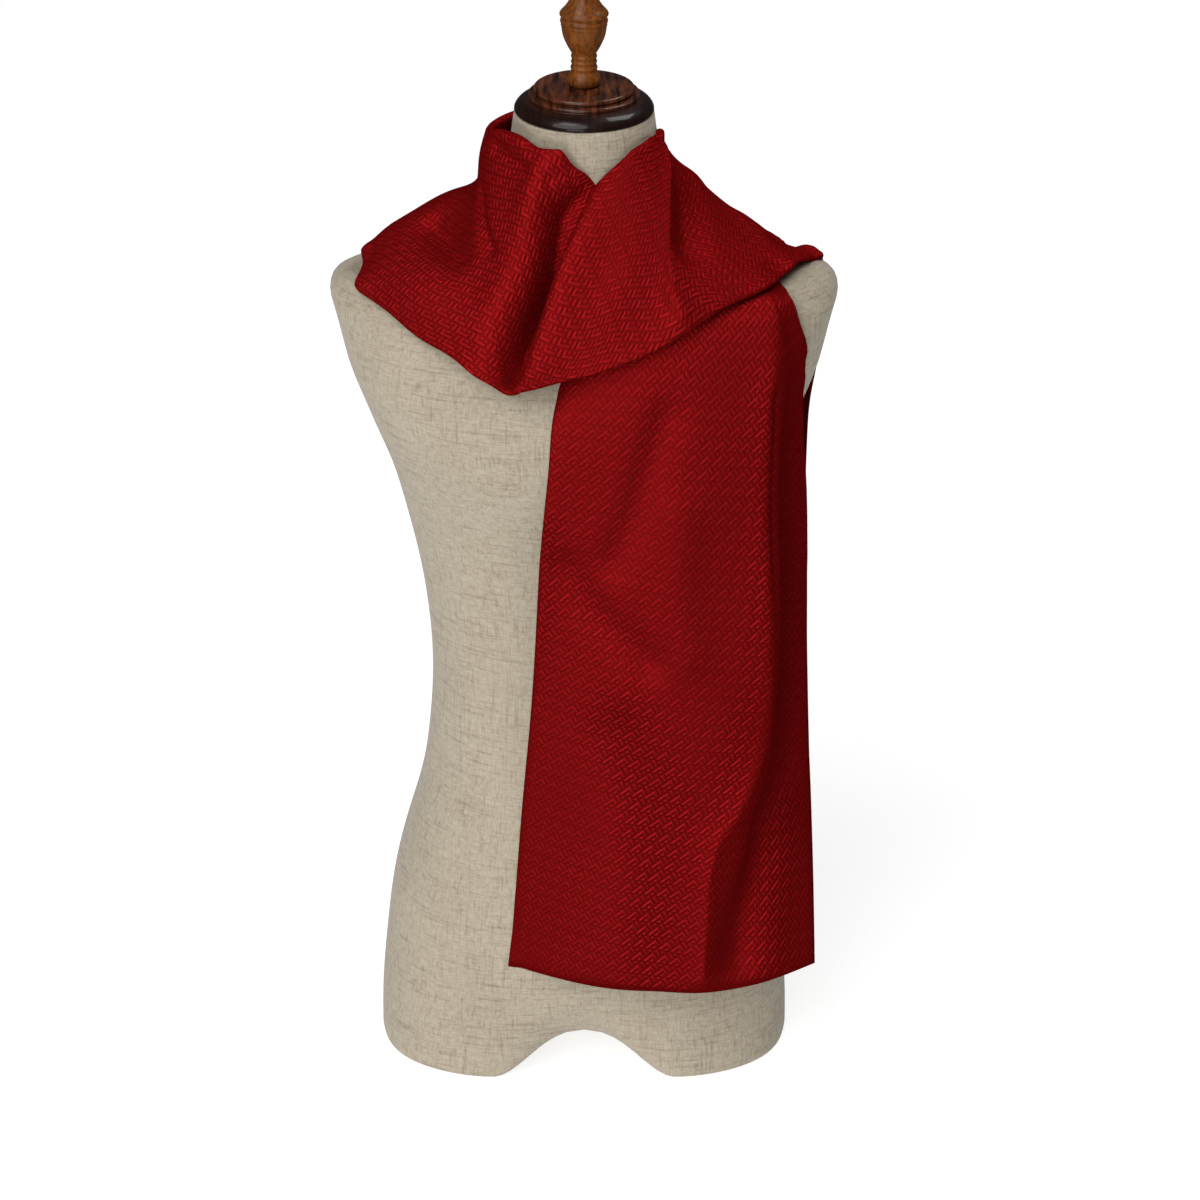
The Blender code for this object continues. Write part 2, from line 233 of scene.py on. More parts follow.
def material(name, **constants):
    """A Principled material, its shader, and its object and UV coordinates as wires."""
    made = bpy.data.materials.new(name)
    made.use_nodes = True
    tree = made.node_tree
    shader = tree.nodes["Principled BSDF"]
    for key, value in constants.items():
        shader.inputs[key.replace("_", " ")].default_value = value
    place = tree.nodes.new("ShaderNodeTexCoord")
    return made, shader, Wire(tree, place.outputs["Object"]), Wire(tree, place.outputs["UV"])


def feed(shader, **wires):
    """Link wires to the shader's sockets."""
    for key, wire in wires.items():
        wire.tree.links.new(wire.socket, shader.inputs[key.replace("_", " ")])


def torso_points():
    """Rings from the soles' rim to the neck. At each level the outline is |x/w|^n + |y/d|^n = 1."""
    levels = np.array(FORM_LEVELS, float)
    travel = running(np.hypot(*np.diff(levels[:, :2], axis=0).T))
    turn = np.arange(FORM_SIDES) * 2 * math.pi / FORM_SIDES
    places = np.linspace(0, travel[-1], FORM_ROWS)
    level = natural_spline(travel, levels[:, 0], places)
    base_x = np.cos(turn) * levels[0, 1]
    arch = np.where(np.abs(base_x) < ARCH_HALF, np.cos(base_x / ARCH_HALF * math.pi / 2) ** 2, 0)
    share = np.clip(level / STUMP_TOP, 0, 1)[:, None]
    height = level[:, None] + ARCH_HEIGHT * arch * (1 - share) ** ARCH_FADE
    fine_travel = np.linspace(0, travel[-1], FINE_ROWS)
    fine = natural_spline(travel, levels, fine_travel)
    fine[:, 0] = np.maximum.accumulate(fine[:, 0])
    _, half, front, back, square = (np.interp(height, fine[:, 0], column) for column in fine.T)
    above = share[:, 0] >= 1
    half[above] = np.interp(places, fine_travel, fine[:, 1])[above, None]
    away = np.sin(turn)
    across = np.sign(np.cos(turn)) * np.abs(np.cos(turn)) ** (2 / square)
    deep = np.sign(away) * np.abs(away) ** (2 / square)
    x = half * across
    fade = np.clip(1 - height / CREASE_TOP, 0, 1) ** CREASE_FADE
    crease = 1 - CREASE_DEPTH * fade * np.exp(-(x / CREASE_WIDTH) ** 2)
    y = np.where(away < 0, front, back) * deep * crease
    return np.stack([x, y, height], axis=-1)


def torso_mesh():
    """The rings, a rounded rim at the soles, the soles themselves, and the neck's flat top."""
    rings = torso_points()
    rim = []
    for angle in np.radians(SOLE_ANGLES):
        inset = 1 - SOLE_EDGE * (1 - math.cos(angle)) / SOLE_HALF
        ring = rings[0] * (inset, inset, 1)
        ring[:, 2] += SOLE_EDGE * (1 - math.sin(angle))
        rim.append(ring)
    rings[..., 2] = np.maximum(rings[..., 2], rings[0, :, 2] + SOLE_EDGE)
    crown_rings = [rings[-1] * (share, share, 1) for share in CROWN_SHARES]
    stack = np.concatenate([rim, rings[1:], crown_rings])
    half = FORM_SIDES // 2
    sole = np.arange(half)
    back = (FORM_SIDES - sole) % FORM_SIDES
    soles = np.stack([sole, back, FORM_SIDES - 1 - sole, sole + 1], axis=-1)
    last = (len(stack) - 1) * FORM_SIDES
    crown = np.stack([sole, sole + 1, FORM_SIDES - 1 - sole, back], axis=-1) + last
    faces = np.concatenate([quads(len(stack), FORM_SIDES, closed=True), soles, crown])
    return stack, faces


linen, shader, place, _ = material("natural_linen", Roughness=0.86, Specular_IOR_Level=0.25,
                                   Sheen_Weight=0.15, Sheen_Roughness=0.5)
warp = place.noise((THREAD_ACROSS, THREAD_ACROSS, THREAD_ALONG), Detail=2.0)
weft = place.noise((THREAD_ALONG, THREAD_ALONG, THREAD_ACROSS), Detail=2.0)
grain = place.noise((THREAD_GRAIN, THREAD_GRAIN, THREAD_GRAIN), Detail=1.0)
long_slub = place.noise((SLUB_ACROSS, SLUB_ACROSS, SLUB_ALONG), Detail=2.0).pick(*SLUB_RANGE)
cross_slub = place.noise((SLUB_ALONG, SLUB_ALONG, SLUB_ACROSS), Detail=2.0).pick(*SLUB_RANGE)
cloudy = place.noise((CLOUD, CLOUD, CLOUD), Detail=3.0).pick(0.3, 0.7)
threads = warp * 0.4 + weft * 0.4 + grain * 0.2
tone = threads.pick(0.40, 0.62) * 0.50 + long_slub * 0.35 + cross_slub * 0.35 + cloudy * 0.14
feed(shader, Base_Color=tone.blend(LINEN_LIGHT, LINEN_DARK),
     Normal=(threads + 0.5 * (long_slub + cross_slub)).relief(LINEN_RELIEF, 0.7))

torso_stack, torso_faces = torso_mesh()
torso = surface("linen_torso", torso_stack, torso_faces)
torso.data.set_sharp_from_angle(angle=SHARP_ANGLE)
torso.data.materials.append(linen)
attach(torso, "root")
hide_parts("form_torso")

# Neck cap
# A disc of hardwood turned on a lathe, stained almost black and varnished to a gloss: a thin top
# plate with a bead, a groove, a cove, and a thick rounded flange on the neck.
CAP_BASE = 796.8
CAP_PROFILE = (
    # radius, height over the neck
    (0, 19.4), (20, 19.4), (34, 19.4), (36.6, 19.1), (37.8, 18.2), (38.2, 17), (37.7, 15.9),
    (36.6, 15.2), (36.4, 14.9), (38.6, 14.7), (41.2, 14.2), (42.2, 13.2), (42.3, 12.2),
    (41.6, 11.4), (41.5, 10.9), (43.6, 10.2), (46.2, 9.1), (48.6, 7.8), (50.6, 6.1), (52, 4.2),
    (52.8, 2.4), (52.8, 1.1), (52, 0.3), (51, 0), (30, 0), (0, 0),
)
TURNED_SIDES = 144
TURNED_STEPS = 3
TIP_RADIUS = 0.05
# heights in metres between which the cap goes from its dark stain to a lighter top, painted light
# from above, and depth of the grain
CAP_PAINTED_LIGHT_RANGE = (0.8055, 0.8125)
GRAIN_RELIEF = 0.0002
DARK_STAIN = (0.005, 0.0020, 0.0015, 1)
# the lighter tone of the cap's top, painted light
PAINTED_LIT_STAIN = (0.170, 0.044, 0.016, 1)


def turned(name, profile, base):
    """A lathe piece: its profile, as a smooth curve with TURNED_STEPS to a span, turned once."""
    knots = np.array(profile, float)
    travel = running(np.hypot(*np.diff(knots, axis=0).T))
    steps = np.arange((len(knots) - 1) * TURNED_STEPS + 1) / TURNED_STEPS
    places = np.interp(steps, np.arange(len(knots)), travel)
    slope = np.gradient(knots, travel, axis=0)
    cell = np.clip(np.searchsorted(travel, places, side="right") - 1, 0, len(knots) - 2)
    width = (travel[cell + 1] - travel[cell])[:, None]
    t = (places - travel[cell])[:, None] / width
    curve = ((2 * t ** 3 - 3 * t ** 2 + 1) * knots[cell]
             + (t ** 3 - 2 * t ** 2 + t) * width * slope[cell]
             + (3 * t ** 2 - 2 * t ** 3) * knots[cell + 1]
             + (t ** 3 - t ** 2) * width * slope[cell + 1])
    curve = curve[1:-1]
    curve[:, 0] = np.maximum(curve[:, 0], TIP_RADIUS)
    turn = np.arange(TURNED_SIDES) * 2 * math.pi / TURNED_SIDES
    radius, height = curve[::-1].T
    rings = np.stack([radius[:, None] * np.cos(turn), radius[:, None] * np.sin(turn),
                      np.repeat(base + height[:, None], TURNED_SIDES, axis=1)], axis=-1)
    half = TURNED_SIDES // 2
    low = np.arange(half)
    back = (TURNED_SIDES - low) % TURNED_SIDES
    lower = np.stack([low, back, TURNED_SIDES - 1 - low, low + 1], axis=-1)
    upper = lower[:, ::-1] + (len(rings) - 1) * TURNED_SIDES
    faces = np.concatenate([quads(len(rings), TURNED_SIDES, closed=True), lower, upper])
    return surface(name, rings, faces)


cap_wood, shader, place, _ = material(
    "dark_varnished_wood", Roughness=0.38, Specular_IOR_Level=0.12, Coat_Weight=0.4,
    Coat_Roughness=0.08, Coat_IOR=1.4)
grain = place.noise((260, 30, 60), Detail=5.0, Roughness=0.6)
level = place.node("SeparateXYZ", {}, {0: place}, 2)
# painted light: the cap's top is coloured lighter and its flange darker, as light falling from
# above
painted_top_light = level.pick(*CAP_PAINTED_LIGHT_RANGE) * 0.8 + 0.05
feed(shader, Base_Color=(grain.pick(0.36, 0.66) * painted_top_light).blend(DARK_STAIN, PAINTED_LIT_STAIN),
     Normal=grain.relief(GRAIN_RELIEF, 0.15))
cap = turned("turned_neck_cap", CAP_PROFILE, CAP_BASE)
cap.data.materials.append(cap_wood)
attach(cap, "root")
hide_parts("neck_cap")

# Finial
# A baluster of mid brown wood, turned and varnished like the cap, that screws into the middle of
# the cap. Its top, which the photograph cuts off, is a plain knob.
FINIAL_BASE = 816.5
FINIAL_PROFILE = (
    # radius, height over the cap
    (0, 98), (3, 97.4), (6, 95), (8, 91.6), (8.6, 88), (7.8, 84.6), (6, 82), (5.6, 80.6),
    (6.2, 78.4), (8.6, 72.6), (11.4, 65.8), (15, 60.4), (17.6, 57.6), (18.4, 56.2), (18.3, 55),
    (17.3, 53.9), (17, 53), (17.4, 52), (18, 50.8), (17.8, 49.6), (17.2, 48.8), (17.2, 47.9),
    (17.5, 47.2), (17.2, 46.4), (16.8, 43.6), (16.2, 40), (14, 34), (11.2, 28.4), (9.4, 25.4),
    (9.1, 24.6), (9.7, 23.6), (9.9, 22.6), (9.4, 21.4), (9.2, 20.4), (9.7, 19.3), (9.9, 18.4),
    (9.4, 17.2), (9.3, 16.3), (9.9, 15), (10.3, 13.9), (9.8, 12.8), (9.7, 11.9), (10.8, 9.8),
    (12.3, 7.2), (13, 4.8), (12.7, 2.4), (11.8, 0.7), (10.6, 0), (5, 0), (0, 0),
)
BROWN_DARK = (0.040, 0.012, 0.003, 1)
BROWN_LIGHT = (0.225, 0.066, 0.009, 1)

finial_wood, shader, place, _ = material(
    "brown_varnished_wood", Roughness=0.42, Specular_IOR_Level=0.12, Coat_Weight=0.2,
    Coat_Roughness=0.12, Coat_IOR=1.35)
fibre = place.noise((420, 420, 26), Detail=5.0, Roughness=0.6)
ring = place.noise((60, 60, 8), Detail=2.0)
feed(shader, Base_Color=(fibre.pick(0.34, 0.66) * 0.7 + ring * 0.3).blend(BROWN_DARK, BROWN_LIGHT),
     Normal=fibre.relief(GRAIN_RELIEF, 0.15))
finial = turned("turned_finial", FINIAL_PROFILE, FINIAL_BASE)
finial.data.materials.append(finial_wood)
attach(finial, "root")
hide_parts("neck_finial")

# Scarf
# One strip of heavy silk with a woven fret, its long edges turned in. It goes from the front hem up
# to the shoulder, behind the neck, down to the V, up over itself and down the back. Round the neck
# its two long edges are folded under, as soft rolls.
FRONT_LEVELS = (
    # height, neck selvedge, inner panel, middle, ridge, valley, outer selvedge
    (102.5, (-61, -101), (-4, -130), (56, -144), (115, -140), (150, -125), (188, -98)),
    (180, (-55, -106), (0, -130), (55, -141), (119, -131), (147, -108), (186, -72)),
    (260, (-49, -111), (4, -130), (57, -138), (130, -123), (148, -92), (183, -46)),
    (340, (-42, -116), (8, -130), (60, -136), (140, -119), (150, -82), (180, -37)),
    (420, (-37, -121), (12, -131), (62, -134), (143, -116), (153, -77), (178, -34)),
    (500, (-32, -128), (16, -132), (64, -133), (140, -112), (155, -75), (175, -38)),
    (565, (-26, -131), (20, -132), (66, -131), (138, -110), (155, -80), (171, -50)),
)
FRONT_RISE = (
    # neck selvedge, inner panel, middle, ridge, valley, outer selvedge
    ((-21, -123, 612), (22, -128, 620), (66, -126, 625), (136, -106, 625), (152, -85, 630),
     (164, -68, 638)),
    ((0, -104, 662), (36, -110, 668), (74, -108, 670), (123, -93, 670), (139, -78, 669),
     (150, -57, 672)),
    ((32, -78, 706), (56, -82, 699), (82, -80, 691), (112, -70, 684), (130, -60, 680),
     (148, -42, 677)),
    ((56, -44, 738), (72, -46, 722), (92, -46, 708), (114, -40, 697), (132, -34, 690),
     (148, -26, 684)),
)
NECK_WRAP = (
    # rim, stand, fold of the collar, upper lap, lower lap, outer selvedge
    ((64, 0, 750), (77, 0, 732), (94, 0, 715), (113, 0, 702), (131, 0, 694), (149, 0, 688)),
    ((58, 38, 748), (68, 48, 730), (80, 58, 713), (95, 65, 697), (112, 67, 682), (128, 63, 669)),
    ((30, 62, 769), (34, 71, 750), (39, 80, 728), (46, 90, 702), (52, 97, 675), (56, 99, 650)),
    ((-4, 68, 775), (-5, 76, 752), (-6, 84, 724), (-8, 92, 699), (-10, 98, 670), (-12, 101, 643)),
    ((-35, 61, 777), (-42, 69, 753), (-50, 77, 724), (-62, 86, 700), (-75, 90, 675),
     (-88, 88, 652)),
    ((-58, 39, 779), (-67, 45, 752), (-79, 52, 717), (-98, 60, 702), (-119, 64, 685),
     (-140, 60, 668)),
)
COWL_LEFT = (
    # rim, stand, fold of the collar, upper lap, lower lap, outer selvedge
    ((-73, 8, 780), (-77.5, 8, 759), (-81.5, 8, 738), (-106, 8, 725), (-139, 8, 705),
     (-166, 5, 684)),
    ((-71, -14, 784), (-78, -19, 760), (-82, -27, 735), (-105, -32, 711), (-140, -38, 695),
     (-171, -40, 674)),
    ((-66, -24, 787), (-74, -31, 759), (-80, -39, 732), (-103, -46, 706), (-136, -52, 690),
     (-165, -51, 669)),
    ((-57, -36, 789), (-66, -46, 757), (-76, -56, 728), (-98, -64, 701), (-127, -70, 683),
     (-150, -68, 664)),
    ((-40, -54, 790), (-50, -66, 755), (-60, -78, 722), (-77, -90, 692), (-100, -100, 668),
     (-121, -96, 649)),
    ((-24, -65, 787), (-36, -78, 752), (-46, -92, 716), (-60, -108, 686), (-76, -117, 658),
     (-93, -117, 637)),
)
COWL_RIGHT = (
    # rim, stand, upper panel, middle, lower panel, outer selvedge
    ((-16, -66, 783), (-28, -79, 748), (-39, -96, 712), (-52, -112, 680), (-67, -122, 652),
     (-82, -124, 632)),
    ((-7, -66, 776), (-19, -80, 742), (-31, -98, 706), (-43, -114, 674), (-55, -126, 645),
     (-69, -130, 628)),
    ((7, -62, 757), (-2, -72, 735), (-12, -86, 708), (-24, -102, 680), (-38, -122, 650),
     (-57, -136, 624)),
    ((8, -65, 758.5), (-5, -89, 740), (-17, -107, 718), (-29, -124, 688), (-41, -137, 650),
     (-46, -140, 626)),
    ((22, -61, 772), (14, -92, 742), (6, -112, 714), (-2, -128, 686), (-8, -138, 657),
     (-16, -142, 636)),
    ((36, -54, 783), (33, -80, 752), (30, -103, 724), (26, -120, 698), (22, -130, 671),
     (17, -140, 645)),
    ((50, -32, 785), (49, -62, 758), (50, -86, 732), (54, -104, 706), (58, -116, 682),
     (62, -126, 660)),
    ((54.5, -8, 782), (58.5, -34, 764), (61, -60, 743), (63, -84, 721), (74, -101, 700),
     (97, -107, 677)),
    ((58, 13, 763), (74, -8, 746), (86, -32, 728), (98, -56, 710), (112, -74, 696),
     (124, -86, 683)),
    ((64, 32, 748), (85, 18, 732), (105, -4, 715), (122, -26, 702), (137, -44, 693),
     (150, -60, 687)),
)
BACK_FALL = (
    # neck selvedge, inner panel, middle, ridge, valley, outer selvedge
    ((65, 54, 739), (88, 48, 722), (113, 30, 706), (136, 10, 694), (160, -10, 687),
     (182, -20, 683)),
    ((58, 76, 722), (82, 80, 703), (110, 73, 686), (138, 56, 672), (163, 38, 670), (184, 18, 671)),
    ((38, 100, 684), (68, 102, 668), (101, 95, 656), (134, 80, 648), (162, 62, 642),
     (184, 42, 636)),
    ((20, 107, 636), (55, 110, 625), (92, 106, 615), (128, 92, 608), (158, 71, 602),
     (182, 48, 596)),
)
BACK_LEVELS = (
    # height, neck selvedge, inner panel, middle, ridge, valley, outer selvedge
    (550, (5, 108), (45, 112), (85, 108), (122, 97), (154, 76), (180, 49)),
    (460, (-8, 107), (34, 112), (76, 111), (118, 103), (152, 79), (179, 48)),
    (370, (-18, 106), (26, 115), (70, 116), (114, 107), (150, 83), (180, 50)),
    (280, (-27, 112), (18, 121), (64, 123), (110, 114), (148, 90), (182, 57)),
    (195, (-35, 121), (12, 130), (60, 132), (108, 123), (148, 103), (184, 73)),
)
FOLD_LINES = (
    # first and last station in stretches, height, width, sharpness, points along it
    (3, 4, 8, 13, 1.1,
     ((54.9, -13.5, 783.3), (58.3, -30.8, 766), (58.2, -64.5, 743), (59.7, -90, 718),
      (65, -108.4, 693), (71.7, -115.8, 676))),
    (3, 4, -9, 15, 2,
     ((66.8, 8.7, 755.2), (75.9, -10.9, 743.6), (80.3, -41.5, 731), (78.2, -75.9, 715.8))),
    (2, 4, -3.5, 6, 2,
     ((-66, -31.7, 777.3), (-56.9, -44.8, 775), (-43, -60.3, 771), (-27.2, -68.9, 766))),
    (2, 3, -7, 13, 2,
     ((-115, -22, 712), (-108, -36, 708), (-101, -49, 704), (-94, -60, 700))),
    (2, 3, -4, 5.5, 2,
     ((-78.9, -28.2, 744.2), (-77, -50.5, 730.6), (-74.5, -64.9, 721.3), (-69.6, -75.5, 713.9))),
    (2, 3, 2.5, 16, 1.6,
     ((-36, -70, 768), (-46, -84, 738), (-60, -100, 706), (-70, -112, 678), (-77, -118, 656))),
)
V_HOLLOW = (
    # last station, width, sharpness, shift of the cloth, points along it
    3.12, 22, 2, (0, 22, -11),
    ((-4, -78, 731), (-6, -82, 724), (-15, -98, 697.6), (-24, -112.3, 671.7), (-31, -121.3, 652.2),
     (-38, -131, 634)),
)
TAIL_FOLDS = (
    # height, width, sharpness, points along it
    (6, 12, 1.3,
     ((141, -80, 672), (140, -110, 606.8), (140, -116, 522.9), (141, -118, 443.6),
      (143, -118, 321.8), (130, -125, 279.3), (118, -130, 255.1), (104, -133, 237.1),
      (98, -136, 207), (96, -138, 165), (95, -142, 117))),
    (-3.5, 2.6, 2,
     ((145, -80, 672.1), (144, -108, 606.8), (144, -113, 522.9), (145, -115, 443.6),
      (147, -115, 321.8), (134, -123, 279.3), (122, -128, 255.1), (108, -132, 237.1))),
    (-11.5, 20, 2,
     ((158, -62, 600), (158, -70, 560), (158, -72, 486.5), (160, -60, 419.3), (160, -58, 370.4),
      (160, -68, 273.3), (149, -104, 243.1), (145, -110, 213), (136, -121, 183), (128, -127, 159),
      (124, -132, 129))),
    (3, 6, 1.6, ((172.4, -41.2, 437.8), (167.3, -48.8, 407), (159.5, -61.3, 376.5))),
    (-5, 15, 2, ((-14, -128, 472), (2.2, -129.9, 445), (24.5, -132.9, 420), (49.8, -134.7, 394.9))),
    (-4.5, 14, 2, ((62, -132, 600), (49, -132.6, 559.3), (38, -133.6, 516.8), (22, -133.8, 480))),
    (3, 18, 2, ((75, -134, 520), (70, -135, 460), (78, -135, 400))),
    (-4, 22, 2, ((28, -134, 330), (48, -136, 262), (58, -138, 185), (58, -140, 115))),
)
GLINT_AND_BEND_LINES = (
    # how strongly, width, points of a line along which the weave's floats stand up and its colour
    # is painted with glints and darker shade
    (1.0, 13, ((-30, -131, 510), (-32, -131, 435), (-42, -131, 325), (-54, -131, 212),
               (-63, -131, 141))),
    (0.45, 16, ((-16, -131, 470), (14, -131, 433), (37, -131, 420))),
    (0.6, 17, ((134, -118, 655), (140, -118, 505), (134, -122, 380), (118, -128, 307),
               (97, -131, 232), (91, -131, 128))),
    (1.0, 34, ((31, -131, 344), (57, -131, 270), (65, -131, 194), (61, -131, 123))),
    (0.8, 24, ((165, -80, 235), (152, -105, 170), (148, -115, 120))),
    (0.8, 22, ((60, 123, 300), (40, 118, 400), (30, 112, 470))),
    (0.7, 16, ((112, 110, 280), (118, 103, 460), (124, 96, 560))),
)
TUGS = (
    # reach, point, shift
    (22, (178, -12, 682), (-1, 4, 5)),
    (10, (184, -22, 684), (-3, 0, -5)),
    (10, (152, -2, 692), (0, 0, -5)),
    (20, (165, -45, 686), (-2, 13, 1)),
    (14, (147, -62, 686), (0, 7, 0)),
    (18, (124, 10, 701), (0, 2, 5)),
    (18, (80, 16, 735), (3.5, 1, 3.5)),
    (18, (150, -68, 672), (7, -1, 0)),
    (28, (163, -66, 630), (5, 0, 0)),
    (24, (167, -60, 585), (3, 0, 0)),
    (14, (-36, -56, 791), (0, 0, -5)),
    (7, (-16, -66, 784), (0, 0, 3)),
    (8, (-6, -66, 774), (0, 0, -1.5)),
    (20, (-150, 0, 697), (-1, 1, 2.5)),
    (8, (-166, -6, 685), (-2, 1, 2.5)),
    (14, (-172, -32, 677), (2.5, 0, 0)),
    (25, (-100, -112, 640), (1, 1, 3)),
    (18, (-57, -133, 621), (0, 1, 1.5)),
    (24, (42, -42, 786), (0, 0, -2.5)),
    (9, (57, -18, 786), (-4.5, 0, -4)),
    (24, (176, -14, 684), (0, 20, -4.5)),
    (10, (151, 1, 690), (0, 0, -4.5)),
    (9, (187, 10, 680), (-2.5, -6, -2)),
    (14, (152, 16, 686), (0, 0, -4)),
    (20, (172, 2, 684), (0, 8, -4)),
    (16, (150, -52, 686), (0, 9, -4.5)),
    (14, (-10, -66, 778), (-1, 1, -3)),
    (11, (-166, -18, 684), (3, 0, 0)),
    (11, (-170, -42, 671), (-4, 0, 0)),
    (30, (180, 48, 575), (5, 0, 0)),
)
STRETCHES = (
    (FRONT_LEVELS, FRONT_RISE), (NECK_WRAP,), (COWL_LEFT,), (COWL_RIGHT,), (BACK_FALL, BACK_LEVELS),
)
# rows to each stretch, columns across the strip, and shares of its width
STRETCH_ROWS = (112, 52, 70, 116, 84)
FINE_COLUMNS = 301
FINE_SHARES = 1001
MIDDLE_COLUMNS = 84
RIM_COLUMNS = 8
ROLL_COLUMNS = 12
RIM_EDGE = RIM_COLUMNS
ROLL_EDGE = RIM_COLUMNS + MIDDLE_COLUMNS - 1
STRIP_MIDDLE = RIM_COLUMNS + MIDDLE_COLUMNS // 2
FLAT_MARGIN = 4
RIM_SHARE = 0.06
ROLL_SHARE = 0.18
RIDGE_CROWD = 2.5
RIDGE_SHARE = 0.06
RIDGE_COLUMN = 3
# rolls along the two edges round the neck, and how they begin and end along the strip
RIM_RADIUS = 3.0
ROLL_RADIUS = 2.0
ROLL_TURNS = 6
FOLD_BEFORE = 20.0
FOLD_AFTER = 140.0
FOLD_IN = 60.0
FOLD_OUT = 80.0
# pressed sides and hems of the tails, and the cloth's thickness
PRESSED_DEPTH = 2.0
PRESSED_WIDTH = 8.0
SILK_WALL = 1.0
# gaps that the cloth settles to, and how far it looks for the silk under it
OVER_LINEN = 1.8
OVER_SILK = 4.2
UNDER_DEEP = 25.0
UNDER_ASIDE = 6.0
UNDER_COWL = 560.0
UNDER_SPARSE = 2
BATCH = 1500
SETTLE_PASSES = 4
SPREAD_PASSES = 6
SMOOTH_SHARE = 0.5
FOLD_END = 0.04
# how much the weave is painted with glint and shade, and raised, away from the lines above, and how
# far the weave turns over the cowl
LEAST_GLINT_AND_BEND = 0.15
COWL_GLINT_AND_BEND = 0.35
COWL_FIRST = 0.7
COWL_LAST = 4.3
COWL_FADE = 4
WEAVE_TURN = math.radians(30)


def sections(tables):
    """The sections of a stretch as one array of points."""
    rows = [row if isinstance(row[0], tuple) else [(x, y, row[0]) for x, y in row[1:]]
            for table in tables for row in table]
    return np.array(rows, float)


def normals_of(grid):
    """Unit normals of a grid, from the cross product of its two directions."""
    along = np.gradient(grid, axis=0)
    across = np.gradient(grid, axis=1)
    normal = np.cross(across, along)
    return normal / np.maximum(np.linalg.norm(normal, axis=-1, keepdims=True), 1e-9)


def spans(grid, axis):
    """Distances between neighbouring points of a grid, in one direction."""
    return np.linalg.norm(np.diff(grid, axis=axis), axis=2)


def ease(value):
    """From 0 to 1 with a soft start and end."""
    value = np.clip(value, 0, 1)
    return value * value * (3 - 2 * value)


def resample(grid, shares):
    """Points of each row of a grid at shares of its width."""
    at = shares * (grid.shape[1] - 1)
    cell = np.clip(at.astype(int), 0, grid.shape[1] - 2)
    part = (at - cell)[..., None]
    row = np.arange(len(grid))[:, None]
    return grid[row, cell] * (1 - part) + grid[row, cell + 1] * part


def off_linen(grid):
    """Move points nearer to the torso than OVER_LINEN, or inside it, out to that gap."""
    probe = surface("probe", grid, quads(*grid.shape[:2]))
    wrap = probe.modifiers.new("rest", "SHRINKWRAP")
    wrap.target = torso
    wrap.wrap_method = "NEAREST_SURFACEPOINT"
    wrap.wrap_mode = "OUTSIDE"
    wrap.offset = OVER_LINEN * MM
    evaluated = probe.evaluated_get(bpy.context.evaluated_depsgraph_get())
    found = np.empty(grid.size)
    evaluated.data.vertices.foreach_get("co", found)
    mesh = probe.data
    bpy.data.objects.remove(probe)
    bpy.data.meshes.remove(mesh)
    return found.reshape(grid.shape) / MM - (0, AXIS_Y, 0)


def blurred(grid):
    """Each point becomes the mean of itself and its eight neighbours."""
    padded = np.pad(grid, ((1, 1), (1, 1), (0, 0)), mode="edge")
    rows, columns = grid.shape[:2]
    return sum(padded[i:i + rows, j:j + columns] for i in range(3) for j in range(3)) / 9


def off_silk(grid, under, normals):
    """Move the points that are nearer than OVER_SILK to the silk under them out to that gap.

    The shift is spread to the points round about, so that the cloth doesn't step where the silk
    under it ends.
    """
    points = grid.reshape(-1, 3)
    shift = np.zeros_like(points)
    for start in range(0, len(points), BATCH):
        some = points[start:start + BATCH]
        nearest = ((some[:, None] - under[None]) ** 2).sum(axis=-1).argmin(axis=1)
        offset = some - under[nearest]
        height = (offset * normals[nearest]).sum(axis=1)
        aside = np.sqrt(np.maximum((offset ** 2).sum(axis=1) - height ** 2, 0))
        low = (height < OVER_SILK) & (height > -UNDER_DEEP) & (aside < UNDER_ASIDE)
        lift = np.where(low, OVER_SILK - height, 0)
        shift[start:start + BATCH] = normals[nearest] * lift[:, None]
    shift = shift.reshape(grid.shape)
    wide = shift
    for _ in range(SPREAD_PASSES):
        wide = blurred(wide)
        longer = np.linalg.norm(shift, axis=-1) > np.linalg.norm(wide, axis=-1)
        wide = np.where(longer[..., None], shift, wide)
    return grid + wide


def beside(grid, width, sharpness, line):
    """exp(-(distance from the line / width) ^ sharpness), for each point of a grid."""
    line = np.array(line, float)
    nearest = np.full(grid.shape[:2], 1e9)
    for begin, end in zip(line[:-1], line[1:]):
        run = end - begin
        reached = np.clip(((grid - begin) @ run) / (run @ run), 0, 1)
        gap = np.linalg.norm(grid - begin - reached[..., None] * run, axis=-1)
        nearest = np.minimum(nearest, gap)
    return np.exp(-(nearest / width) ** sharpness)


def folded_along(grid, share, height, width, sharpness, line):
    """Raise the rows by their share of the height, beside the line."""
    lift = share[:, None] * height * beside(grid, width, sharpness, line)
    return grid + lift[..., None] * normals_of(grid)


def tugged(grid, reach, point, shift):
    """Move the cloth by shift x exp(-(distance from the point / reach) ^ 2)."""
    near = np.exp(-((grid - point) ** 2).sum(axis=-1) / reach ** 2)
    return grid + near[..., None] * np.array(shift, float)


def shaped(grid):
    """The cloth with its folds, the hollow beside the V and the shifts of its edges."""
    for begins, ends, height, width, sharpness, line in FOLD_LINES:
        share = ease((station - begins) / FOLD_END + 1) * ease((ends - station) / FOLD_END + 1)
        grid = folded_along(grid, share, height, width, sharpness, line)
    ends, width, sharpness, push, line = V_HOLLOW
    share = ease((ends - station) / FOLD_END + 1)[:, None]
    grid = grid + (share * beside(grid, width, sharpness, line))[..., None] * np.array(push)
    for reach, point, shift in TUGS:
        grid = tugged(grid, reach, point, shift)
    return grid


